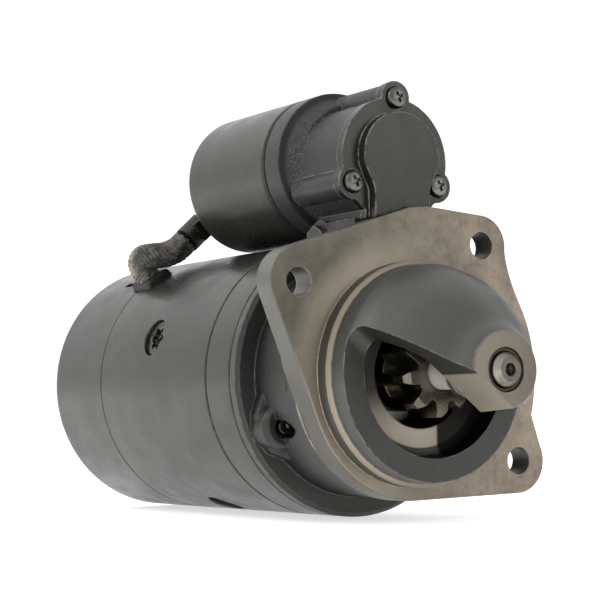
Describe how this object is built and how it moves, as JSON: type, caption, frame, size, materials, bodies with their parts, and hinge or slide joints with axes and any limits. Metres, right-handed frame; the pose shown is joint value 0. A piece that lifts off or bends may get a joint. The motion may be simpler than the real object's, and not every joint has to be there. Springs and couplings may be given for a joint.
{
  "type": "starter motor",
  "caption": "Pre-engaged electric starter motor: round body, three-eared flange, open pinion nose and a solenoid on top.",
  "frame": {"origin": "centre of the pilot ring, in the plane of the mounting flange's front face", "axes": "+X along the armature shaft towards the pinion nose, +Z towards the solenoid"},
  "size_m": [0.2826, 0.1295, 0.1769],
  "materials": {
    "bakelite": "satin",
    "bronze": "satin",
    "carbon": "matte",
    "copper": "satin",
    "lamination": "satin",
    "oily": "satin",
    "paint": "satin",
    "rubber": "matte",
    "sheath": "matte",
    "steel": "satin",
    "zinc": "satin"
  },
  "bodies": {
    "housing": {"drive_end_housing": "paint", "nose_bushing": "bronze", "lever_cover": "paint", "cover_screw_1": "zinc", "cover_screw_2": "zinc", "cover_screw_3": "zinc", "lever_pin": "steel", "centre_plate": "paint", "centre_bushing": "bronze", "yoke": "paint", "rear_cover": "paint", "rear_bushing": "bronze", "through_bolt_1": "zinc", "through_bolt_2": "zinc", "pole_shoe_1": "steel", "pole_shoe_2": "steel", "pole_shoe_3": "steel", "pole_shoe_4": "steel", "field_coil_1": "copper", "field_coil_2": "copper", "field_coil_3": "copper", "field_coil_4": "copper", "pole_screw_1": "steel", "pole_screw_2": "steel", "pole_screw_3": "steel", "pole_screw_4": "steel", "brush_plate": "steel", "solenoid_case": "paint", "solenoid_gasket": "rubber", "solenoid_coil": "copper", "solenoid_core": "steel", "solenoid_cap": "bakelite", "battery_stud": "copper", "battery_nut": "zinc", "motor_stud": "copper", "motor_nut": "zinc", "control_terminal": "zinc", "field_lead": "sheath", "cable_lug": "zinc", "lead_grommet": "rubber"},
    "armature": {"armature_shaft": "steel", "armature_core": "lamination", "front_winding": "copper", "rear_winding": "copper", "commutator": "copper", "pinion_stop_ring": "steel"},
    "drive": {"drive_sleeve": "steel", "meshing_spring": "steel", "clutch_housing": "steel"},
    "pinion": {"pinion": "oily"},
    "lever": {"fork_lever": "steel"},
    "plunger": {"plunger": "steel", "plunger_rod": "steel", "return_spring": "steel"},
    "contact": {"contact_disc": "copper"},
    "brush_1": {"brush_1": "carbon"},
    "brush_2": {"brush_2": "carbon"},
    "brush_3": {"brush_3": "carbon"},
    "brush_4": {"brush_4": "carbon"}
  },
  "joints": [
    {"name": "armature_spin", "type": "hinge", "parent": "housing", "child": "armature", "pos_m": [0, 0, 0], "axis": [1, 0, 0], "continuous": true},
    {"name": "plunger_slide", "type": "slide", "parent": "housing", "child": "plunger", "axis": [-1, 0, 0], "range_m": [0, 0.0083], "stiffness_N_per_m": 3000, "springref_m": -0.01, "deforming": ["return_spring"]},
    {"name": "lever_swing", "type": "hinge", "parent": "housing", "child": "lever", "pos_m": [-0.038, 0, 0.056], "axis": [0, 1, 0], "range_deg": [-14.36, 0]},
    {"name": "drive_slide", "type": "slide", "parent": "armature", "child": "drive", "axis": [1, 0, 0], "range_m": [0, 0.014]},
    {"name": "pinion_spin", "type": "hinge", "parent": "drive", "child": "pinion", "pos_m": [0, 0, 0], "axis": [1, 0, 0], "continuous": true},
    {"name": "contact_slide", "type": "slide", "parent": "housing", "child": "contact", "axis": [-1, 0, 0], "range_m": [0, 0.00332]},
    {"name": "brush_1_slide", "type": "slide", "parent": "housing", "child": "brush_1", "axis": [0, -0.4226, 0.9063], "range_m": [0, 0.004], "stiffness_N_per_m": 600, "springref_m": -0.02},
    {"name": "brush_2_slide", "type": "slide", "parent": "housing", "child": "brush_2", "axis": [0, -0.9063, -0.4226], "range_m": [0, 0.004], "stiffness_N_per_m": 600, "springref_m": -0.02},
    {"name": "brush_3_slide", "type": "slide", "parent": "housing", "child": "brush_3", "axis": [0, 0.4226, -0.9063], "range_m": [0, 0.004], "stiffness_N_per_m": 600, "springref_m": -0.02},
    {"name": "brush_4_slide", "type": "slide", "parent": "housing", "child": "brush_4", "axis": [0, 0.9063, 0.4226], "range_m": [0, 0.004], "stiffness_N_per_m": 600, "springref_m": -0.02}
  ],
  "couplings": [
    {"joint": "lever_swing", "follows": "plunger_slide", "rad_per_m": -30.196},
    {"joint": "drive_slide", "follows": "plunger_slide", "ratio": 1.6867},
    {"joint": "contact_slide", "follows": "plunger_slide", "ratio": 0.4}
  ]
}
